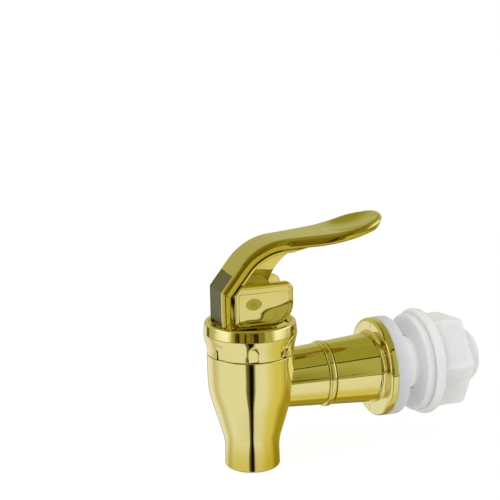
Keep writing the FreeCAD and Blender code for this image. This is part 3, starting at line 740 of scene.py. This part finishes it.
def make_nut():
    corners = [math.radians(60 * k + NUT_TURN) for k in range(6)]
    hexagon = [(NUT_CORNER * math.sin(turn), NUT_CORNER * math.cos(turn), 0.4) for turn in corners]
    nut = drawn("flanged_nut", rounded(hexagon, 15.0),
                lambda across, up: (NUT_HEX_START, -across, INLET_HEIGHT + up))
    pick(nut, "FACE", everything)
    bpy.ops.mesh.extrude_region_move(
        TRANSFORM_OT_translate={"value": ((NUT_END - NUT_HEX_START) * MM, 0, 0)}
    )
    outwards(nut)
    end = turned("nut_end", [
        (50.0, 0), (50.0, 16.0), (NUT_END - 0.55, 16.0), (NUT_END - 0.35, 15.05),
        (NUT_END, 14.5), (NUT_END, 0),
    ], sides=96, level=True)
    combine(nut, "INTERSECT", end)
    bevel_edges(nut, 0.22, segments=3, least=50)
    flange = turned("nut_flange", [
        (NUT_SEAT, 0), (NUT_SEAT, NUT_FLANGE, 1.5), (NUT_FLATS, NUT_FLANGE, 1.5), (NUT_FLATS, 0),
    ], sides=160, level=True, step=9)
    combine(nut, "UNION", flange)
    hole = turned("nut_hole", [
        (NUT_SEAT - 1, 0), (NUT_SEAT - 1, 8.75), (NUT_SEAT, 8.75), (NUT_SEAT + 0.6, 8.15),
        (NUT_END - 0.6, 8.15), (NUT_END, 8.75), (NUT_END + 1, 8.75), (NUT_END + 1, 0),
    ], sides=96, level=True)
    combine(nut, "DIFFERENCE", hole)
    smooth(nut)
    fit_out(nut, "mounting_nut", NATURAL, "mounting_nut")


# Lever

ARM_FRONT = -10.4
ARM_WALL = 3.2
PADDLE_WALL = 2.3
EDGE_TOP = 1.35
EDGE_BELOW = 0.95
UPRIGHT, RISE, TOP_RISE, PADDLE_RISE, TIP_RISE = (
    math.radians(angle) for angle in (90.0, 51.5, 3.1, 15.7, 25.0)
)


def ahead(point, angle, length):
    """The point a length away from another, at an angle to the level."""
    return (point[0] + length * math.cos(angle), point[1] + length * math.sin(angle))


def inset(point, before, after, depth):
    """A corner of the strap moved inwards by a depth, square to both of its runs."""
    middle = (before + after) / 2
    reach = depth / math.cos((before - after) / 2)
    return (point[0] + reach * math.sin(middle), point[1] - reach * math.cos(middle))


# The strap's bends seen from the side, with the radii of their upper side
CREASE = (ARM_FRONT, 54.5)
CROWN = ahead(CREASE, RISE, 17.3)
PADDLE = ahead(CROWN, TOP_RISE, 26.4)
TIP = ahead(PADDLE, PADDLE_RISE, 11.6)
ARM_END = ahead(TIP, TIP_RISE, 3.0)
CROWN_RADIUS = 18.0
PADDLE_RADIUS = 54.0
TIP_RADIUS = 9.0

# The strap's rounded end and its outline seen from above
TIP_LENGTH = 9.2
TIP_CENTRE = ARM_END[0] - TIP_LENGTH
STRAP_EDGE = rounded([
    (ARM_FRONT, STRAP_HALF), (10.5, STRAP_HALF, 25.0), (TIP_CENTRE - 3.0, PADDLE_HALF, 14.0),
    (ARM_END[0], PADDLE_HALF),
], 1.0)

# The recess for the inlay, and the gap around the inlay
RECESS_DEPTH = 0.7
RECESS_START = FOOT + 1.4
RECESS_RUN = 5.6
RECESS_HALF = 4.9
INLAY_GAP = 0.06


def bent_line(corners, counts):
    """Points and upward normals along a bent line, with a set number on each run and bend."""
    line = []
    here = Vector(corners[0][:2])
    for k in range(1, len(corners) - 1):
        corner, after = Vector(corners[k][:2]), Vector(corners[k + 1][:2])
        first, last, side, turn = bend(here, corner, after, corners[k][2])
        run = (corner - here).normalized()
        normal = Vector((-run.y, run.x))
        runs, bends = counts[2 * k - 2:2 * k]
        line += [(here.lerp(first, part / runs), normal) for part in range(runs)]
        for part in range(bends):
            swing = Matrix.Rotation(turn * part / bends, 2)
            line.append((first + side - swing @ side, swing @ normal))
        here = last
    end = Vector(corners[-1][:2])
    run = (end - here).normalized()
    line += [(here.lerp(end, part / counts[-1]), Vector((-run.y, run.x)))
             for part in range(counts[-1] + 1)]
    return line


def at(line, mark):
    """The point and the normal at a place along a line, counted in its points."""
    row = min(int(mark), len(line) - 2)
    share = mark - row
    point = line[row][0].lerp(line[row + 1][0], share)
    return point, line[row][1].lerp(line[row + 1][1], share).normalized()


def mark_at(line, reach):
    """The place along the line, counted in its points, where it passes a reach."""
    row = max(k for k in range(len(line) - 1) if line[k][0].x <= reach)
    return row + (reach - line[row][0].x) / (line[row + 1][0].x - line[row][0].x)


def strap_half(reach):
    """Half the strap's width: even to the waist, then spreading to the paddle."""
    for before, here in zip(STRAP_EDGE, STRAP_EDGE[1:]):
        if reach <= here[0]:
            share = max(0.0, (reach - before[0]) / (here[0] - before[0]))
            return before[1] + (here[1] - before[1]) * share
    return STRAP_EDGE[-1][1]


DISH_DEPTH = 1.35
DISH_CENTRE = 31.6
DISH_HALF_LENGTH = 8.4
DISH_HALF_WIDTH = 7.9


def dish_depth(reach, across):
    """How far the thumb's hollow lies below the paddle's surface."""
    outwards_share = ((reach - DISH_CENTRE) / DISH_HALF_LENGTH) ** 2 + (across / DISH_HALF_WIDTH) ** 2
    return DISH_DEPTH * max(0.0, 1 - outwards_share) ** 1.08


def section_rings():
    """The strap's half section from the middle of its top, round the edge, to the middle below.

    Each ring has its share of the width within the rounding, its inset from the edge,
    its depth from that surface, and whether it lies on top.
    """
    top_shares = (0.0, 0.09, 0.18, 0.28, 0.38, 0.48, 0.58, 0.68, 0.78, 0.88, 0.95)
    rings = [(share, None, 0.0, True) for share in top_shares]
    for part in range(11):
        lean = math.radians(90 - 9 * part)
        edge_inset, depth = EDGE_TOP * (1 - math.cos(lean)), EDGE_TOP * (1 - math.sin(lean))
        rings.append((None, edge_inset, depth, True))
    for part in range(8):
        lean = math.radians(90 * part / 7)
        edge_inset, depth = EDGE_BELOW * (1 - math.cos(lean)), EDGE_BELOW * (1 - math.sin(lean))
        rings.append((None, edge_inset, depth, False))
    rings += [(share, None, 0.0, False) for share in (0.9, 0.7, 0.45, 0.2, 0.0)]
    return rings


def make_strap():
    """The strap and its paddle as one closed skin that runs down one side and back up the other."""
    counts = [14, 4, 10, 30, 22, 10, 16, 5, 5]
    past_crease = counts[0] + counts[1]
    upper = bent_line([
        (ARM_FRONT, FOOT), CREASE + (0.35,), CROWN + (CROWN_RADIUS,), PADDLE + (PADDLE_RADIUS,),
        TIP + (TIP_RADIUS,), ARM_END,
    ], counts)
    inner_front = ARM_FRONT + 2.8
    crease = inset(CREASE, UPRIGHT, RISE, ARM_WALL)
    wall_top = crease[1] + (inner_front - crease[0]) * math.tan(RISE)
    lower = bent_line([
        (inner_front, FOOT), (inner_front, wall_top, 0.25),
        inset(CROWN, RISE, TOP_RISE, ARM_WALL) + (CROWN_RADIUS - ARM_WALL,),
        inset(PADDLE, TOP_RISE, PADDLE_RISE, ARM_WALL) + (PADDLE_RADIUS + ARM_WALL,),
        inset(TIP, PADDLE_RISE, TIP_RISE, PADDLE_WALL) + (TIP_RADIUS + PADDLE_WALL,),
        (ARM_END[0] + 0.35, ARM_END[1] - PADDLE_WALL),
    ], counts)
    rings = section_rings()
    straight = [k for k in range(len(upper))
                if k < past_crease or upper[k][0].x < TIP_CENTRE - 0.2]
    stations = [(k, -90.0) for k in straight]
    stations += [(None, -90.0 + 180.0 * part / 72) for part in range(73)]
    stations += [(k, 90.0) for k in reversed(straight)]
    bpy.ops.mesh.primitive_grid_add(
        x_subdivisions=len(rings) - 1, y_subdivisions=len(stations) - 1, size=2
    )
    arm = bpy.context.object
    arm.name = arm.data.name = "lever_strap"
    for index, vertex in enumerate(arm.data.vertices):
        mark, angle = stations[index // len(rings)]
        share, edge_inset, depth, on_top = rings[index % len(rings)]
        reach = TIP_CENTRE if mark is None else upper[mark][0].x
        width = strap_half(reach)
        ring = share * (width - EDGE_TOP) if edge_inset is None else width - edge_inset
        across = ring * math.sin(math.radians(angle))
        if mark is None:
            reach = TIP_CENTRE + ring * TIP_LENGTH / PADDLE_HALF * math.cos(math.radians(angle))
            mark = mark_at(upper, min(reach, ARM_END[0] - 1e-4))
        point, normal = at(upper if on_top else lower, mark)
        offset = -depth - dish_depth(reach, across) if on_top else depth
        vertex.co = Vector((point.x + normal.x * offset, across, point.y + normal.y * offset)) * MM
    pick(arm, "VERT", everything)
    bpy.ops.mesh.remove_doubles(threshold=WELD)
    bpy.ops.mesh.select_all(action="DESELECT")
    bpy.ops.mesh.select_non_manifold()
    bpy.ops.mesh.edge_face_add()
    leave()
    outwards(arm)
    return arm


def make_lever_arm():
    arm = make_strap()
    bevel_edges(arm, 0.15, segments=2, least=70, below=FOOT + 0.05)
    floor = inset(CREASE, UPRIGHT, RISE, RECESS_DEPTH)
    floor_end = ahead(floor, RISE, RECESS_RUN)
    recess = plate("inlay_recess", [
        (ARM_FRONT - 2.0, RECESS_START), (ARM_FRONT + RECESS_DEPTH, RECESS_START), floor,
        floor_end, ahead(floor_end, RISE + math.pi / 2, 3.0), (ARM_FRONT - 2.0, CREASE[1] + 1.5),
    ], RECESS_HALF)
    combine(arm, "DIFFERENCE", recess)
    smooth(arm, 35)
    fit_out(arm, "lever", ARM_GOLD, "lever_arm")


# The panel in the strap's recess, which carries the dark olive painted reflection.
def make_lever_inlay():
    outer = inset(CREASE, UPRIGHT, RISE, 0.09)
    inner = inset(CREASE, UPRIGHT, RISE, RECESS_DEPTH - INLAY_GAP)
    start, run = RECESS_START + INLAY_GAP, RECESS_RUN - INLAY_GAP
    inlay = plate("lever_recess_panel", [
        (outer[0], start), (inner[0], start), inner, ahead(inner, RISE, run),
        ahead(outer, RISE, run), outer,
    ], RECESS_HALF - INLAY_GAP)
    bevel_edges(inlay, 0.12, segments=2, least=60)
    smooth(inlay)
    fit_out(inlay, "lever", OLIVE, "lever_inlay")


CHEEK_HALF = 1.1
TOP_CORNER = 2.2
SOCKET_RADIUS = 1.56


def oval(centre, half_length, half_height, count):
    """The points of an oval at the pin's height."""
    turns = [TURN * k / count for k in range(count)]
    return [(centre + half_length * math.cos(turn), PIVOT + half_height * math.sin(turn))
            for turn in turns]


def make_cheek(side, top_front, top_rear):
    """A cheek with a raised border around its outer face, and the pin's way in inside."""
    cheek = plate(f"cheek_{side}", [
        (CHEEK_FRONT, FOOT, 0.7), (CHEEK_REAR, FOOT, CHEEK_CORNER), (CHEEK_REAR, CHEEK_TOP, TOP_CORNER),
        top_rear + (0.7,), top_front + (0.7,),
    ], CHEEK_HALF, centre=(CHEEK_OUTSIDE - CHEEK_HALF) * side, step=5.0)
    lead = plate("snap_lead", [(-1.3, FOOT - 1), (1.3, FOOT - 1), (1.3, PIVOT), (-1.3, PIVOT)], 4.9)
    socket = plate("pin_socket", oval(0, SOCKET_RADIUS, SOCKET_RADIUS, 48), 5.5)
    reach_out = [vertex.co.y * side / MM for vertex in cheek.data.vertices]
    pick(cheek, "EDGE", lambda edge: min(reach_out[k] for k in edge.vertices) > CHEEK_OUTSIDE - 0.1)
    bpy.ops.mesh.bevel(offset=0.6 * MM, offset_type="OFFSET", segments=6, profile=0.5)
    leave()
    panel = make_panel(side, top_front, top_rear, border=1.0, drop=0.0, depth=0.26)
    second_step = make_panel(side, top_front, top_rear, border=1.25, drop=1.2, depth=0.42)
    combine(cheek, "DIFFERENCE", lead, socket, panel, second_step, make_dimple(side))
    return cheek


def make_dimple(side):
    """An oval whose floor leans inwards to its top, cut over the pin's socket."""
    floor = 5.86
    outline = oval(DIMPLE_CENTRE, DIMPLE_HALF_LENGTH, DIMPLE_HALF_HEIGHT, 64)
    cutter = plate("dimple", outline, 0.6, centre=(floor + 0.6) * side)
    reach_in = [vertex.co.y * side / MM for vertex in cutter.data.vertices]
    pick(cutter, "FACE", lambda face: max(reach_in[k] for k in face.vertices) < floor + 0.04)
    bpy.ops.transform.rotate(
        value=-math.radians(7) * side, orient_axis="X", orient_type="GLOBAL",
        center_override=(0, floor * side * MM, PIVOT * MM),
    )
    outwards(cutter)
    return cutter


def make_panel(side, top_front, top_rear, border, drop, depth):
    """What is cut from a cheek's outer face inside a border, which can be wider along the top."""
    half = 0.5
    foot, top = FOOT + border, CHEEK_TOP - border - drop
    rear = inset(top_rear, RISE, 0, border)
    front = inset(top_front, UPRIGHT, RISE, border)
    panel = plate("panel", [
        (CHEEK_FRONT + border, foot, 0.3), (CHEEK_REAR - border, foot, CHEEK_CORNER - border),
        (CHEEK_REAR - border, top, TOP_CORNER - border),
        (rear[0] - drop / math.tan(RISE), top, 0.3), front + (0.3,),
    ], half, centre=(CHEEK_OUTSIDE + half - depth) * side, step=5.0)
    reach_in = [vertex.co.y * side / MM for vertex in panel.data.vertices]
    pick(panel, "EDGE", lambda edge: max(reach_in[k] for k in edge.vertices) < CHEEK_OUTSIDE + 0.1)
    bpy.ops.mesh.bevel(offset=0.22 * MM, offset_type="OFFSET", segments=4, profile=0.5)
    leave()
    return panel


def make_lever_yoke():
    """Cheeks, front wall, roof, web and rail under the strap, with the pin's blind sockets."""
    gap, roof = 0.2, CHEEK_TOP
    crease = inset(CREASE, UPRIGHT, RISE, ARM_WALL + gap)
    crown = inset(CROWN, RISE, TOP_RISE, ARM_WALL + gap)
    slope = math.tan(RISE)
    front = -7.55
    top_front = (CHEEK_FRONT, crease[1] + (CHEEK_FRONT - crease[0]) * slope)
    top_rear = (crease[0] + (roof - crease[1]) / slope, roof)
    inside = roof - 1.3
    yoke = plate("yoke_walls", [
        (front, FOOT), (-4.5, FOOT), (-4.5, inside), (4.7, inside), (4.7, roof),
        top_rear, (front, crease[1] + (front - crease[0]) * slope),
    ], 4.45)
    web = plate("web", [
        top_rear, (4.7, inside + 0.1), (5.0, inside), (8.2, crown[1] - 0.2, 14.5),
        ahead(crown, TOP_RISE, 20.0), crown + (14.6,),
    ], 1.6, step=3.0)
    bevel_edges(web, 0.2, segments=2, least=60)
    under_crease = inset(CREASE, UPRIGHT, RISE, ARM_WALL + gap + 0.8)
    under_crown = inset(CROWN, RISE, TOP_RISE, ARM_WALL + gap + 0.8)
    rail = plate("rail", [
        top_rear, (under_crease[0] + (roof - under_crease[1]) / slope, roof),
        under_crown + (13.8,), ahead(under_crown, TOP_RISE, 9.0), ahead(crown, TOP_RISE, 14.5),
        crown + (14.6,),
    ], 6.0, step=3.0)
    bevel_edges(rail, 0.25, segments=3, least=60)
    combine(yoke, "UNION", web, rail)
    cheeks = [make_cheek(side, top_front, top_rear) for side in (1, -1)]
    only(yoke)
    for cheek in cheeks:
        cheek.select_set(True)
    bpy.ops.object.join()
    yoke.name = yoke.data.name = "lever_yoke_body"
    smooth(yoke, 35)
    fit_out(yoke, "lever", CHEEK_GOLD, "lever_yoke")


make_barrel()
make_bonnet()
make_inlet_sleeve()
make_shank()
make_washers()
make_nut()
make_lever_arm()
make_lever_inlay()
make_lever_yoke()


# CAD nodes that stay

for node, material in {
    "shank_seal": CLEAR, "seat_cup": CLEAR, "stem": ACETAL, "spring_washer": STEEL,
    "stem_spring": STEEL, "pivot_pin": STEEL,
}.items():
    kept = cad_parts[node]
    kept.data.materials.clear()
    kept.data.materials.append(material)


# Studio

# The camera looks along this level direction, and its right lies square to it
CAMERA_AHEAD = (0.338, 0.941)


def with_cards(tone, cards):
    """A tone with cards laid over it in turn, each with its share and its colour."""
    for share, colour in cards:
        tone = share.blend(tone, colour)
    return tone


def studio_world():
    """White behind the object, an even light, and pale and golden cards in its gloss."""
    world = bpy.data.worlds.new("studio")
    world.use_nodes = True
    world.node_tree.nodes.clear()
    bpy.context.scene.world = world
    wires = Wire(world.node_tree)
    way = wires.node("ShaderNodeTexCoord", output="Generated")
    x, y, height = way.parts()
    level = (x * x + y * y + TINY).root()
    front = (x * -CAMERA_AHEAD[0] + y * -CAMERA_AHEAD[1]) / level
    right = (x * CAMERA_AHEAD[1] + y * -CAMERA_AHEAD[0]) / level

    sides = right.step(0.78, 0.94) + (1 - right.step(-0.88, -0.66)) * front.step(-0.25, 0.0)
    patch = right.step(-0.80, -0.56) * (1 - right.step(0.50, 0.62)) * front.step(0.3, 0.5)
    blots = wires.node("ShaderNodeTexNoise", None, {"Vector": way, "Scale": 7.0, "Detail": 1.0})
    ceiling = height.step(0.71, 0.77)
    vault = height.step(0.50, 0.74) * (1 - front.step(-0.6, -0.2))
    cornice = height.span(0.68, 0.73, 0.015) * front.step(0.0, 0.3)
    walls = (1 - front.step(-0.3, 0.4)).blend((0.54, 0.53, 0.19, 1), (0.64, 0.63, 0.34, 1))
    walls = with_cards(walls, [
        (sides * height.span(-0.12, 0.57, 0.03), (1.35, 1.35, 1.45, 1)),
        (patch * height.span(-0.13, 0.62, 0.03), (0.32, 0.25, 0.04, 1)),
        (patch * height.span(-0.12, 0.20, 0.03) * blots.step(0.50, 0.60), (0.04, 0.03, 0.003, 1)),
        (ceiling, (0.40, 0.38, 0.07, 1)),
        (vault, (0.44, 0.42, 0.09, 1)),
        (cornice, (0.06, 0.05, 0.01, 1)),
    ])

    low = (1 - height.step(-0.98, -0.72)) * (1.0 - front.step(-0.2, 1.0) * 0.45)
    behind = right.step(0.1, 0.5) + (1 - right.step(-0.95, -0.80)) * 0.5
    far = 1 - front.step(-0.98, -0.90)
    ground = low.blend((1.0, 1.0, 0.98, 1), (0.49, 0.38, 0.04, 1))
    ground = with_cards(ground, [
        (right.step(0.55, 1.0), (0.86, 0.77, 0.24, 1)),
        (behind * (1 - front.step(-0.45, 0.15)), (0.47, 0.36, 0.02, 1)),
        (far, (0.30, 0.26, 0.05, 1)),
    ])

    below = 1 - height.step(-0.20, -0.17)
    skirting = height.span(-0.19, -0.165, 0.012)
    narrow = right * (1.0 + (1 - height.step(-0.9, -0.3)) * 0.25)
    haze = narrow.step(-0.28, -0.19) * (1 - narrow.step(0.11, 0.25))
    core = narrow.step(-0.18, -0.03) * (1 - narrow.step(0.06, 0.18))
    upright = front.step(0.5, 0.7) * height.span(-0.93, -0.15, 0.03)
    tone = with_cards(below.blend(walls, ground), [
        (skirting, (0.07, 0.05, 0.005, 1)),
        (haze * upright, (0.22, 0.18, 0.09, 1)),
        (core * upright, (0.006, 0.004, 0.001, 1)),
    ])

    studio = wires.node("ShaderNodeBackground", None, {"Color": tone, "Strength": 1.0})
    plain = wires.node("ShaderNodeBackground", None, {"Color": (1, 1, 1, 1), "Strength": 0.72})
    white = wires.node("ShaderNodeBackground", None, {"Color": (1, 1, 1, 1), "Strength": 1.0})
    rays = wires.node("ShaderNodeLightPath").socket.node.outputs
    camera_ray, clear_ray, glossy_ray = (
        Wire(wires.tree, rays[f"Is {kind} Ray"]) for kind in ("Camera", "Transmission", "Glossy")
    )
    light = wires.node("ShaderNodeMixShader", None, {0: glossy_ray, 1: plain, 2: studio})
    seen = camera_ray.larger(clear_ray)
    both = wires.node("ShaderNodeMixShader", None, {0: seen, 1: light, 2: white})
    wires.node("ShaderNodeOutputWorld", None, {"Surface": both})


def studio_floor():
    """White paper that keeps only a trace of the object's shadow."""
    bpy.ops.mesh.primitive_plane_add(size=4.0, location=(0, 0, -0.0005))
    floor = bpy.context.object
    floor.name = "studio_floor"
    floor.visible_glossy = False
    material, wires = new_material("floor_paper")
    paper = wires.node("ShaderNodeBsdfDiffuse", None, {"Color": (0.92, 0.92, 0.92, 1)})
    glow = wires.node("ShaderNodeEmission", None, {"Color": (1, 1, 1, 1), "Strength": 1.06})
    rays = wires.node("ShaderNodeLightPath").socket.node.outputs
    share = Wire(wires.tree, rays["Is Camera Ray"]) * 0.86
    wires.node("ShaderNodeOutputMaterial", None, {
        "Surface": wires.node("ShaderNodeMixShader", None, {0: share, 1: paper, 2: glow}),
    })
    floor.data.materials.append(material)


def studio_lamp():
    bpy.ops.object.light_add(type="AREA", location=(-0.35, -0.25, 0.6))
    lamp = bpy.context.object
    lamp.data.shape = "DISK"
    lamp.data.size = 0.5
    lamp.data.energy = 2.0
    lamp.visible_glossy = False
    aim = Vector((0.02, 0, 0.03)) - lamp.location
    lamp.rotation_euler = aim.to_track_quat("-Z", "Y").to_euler()


studio_world()
studio_floor()
studio_lamp()
bpy.context.scene.view_settings.view_transform = "Standard"
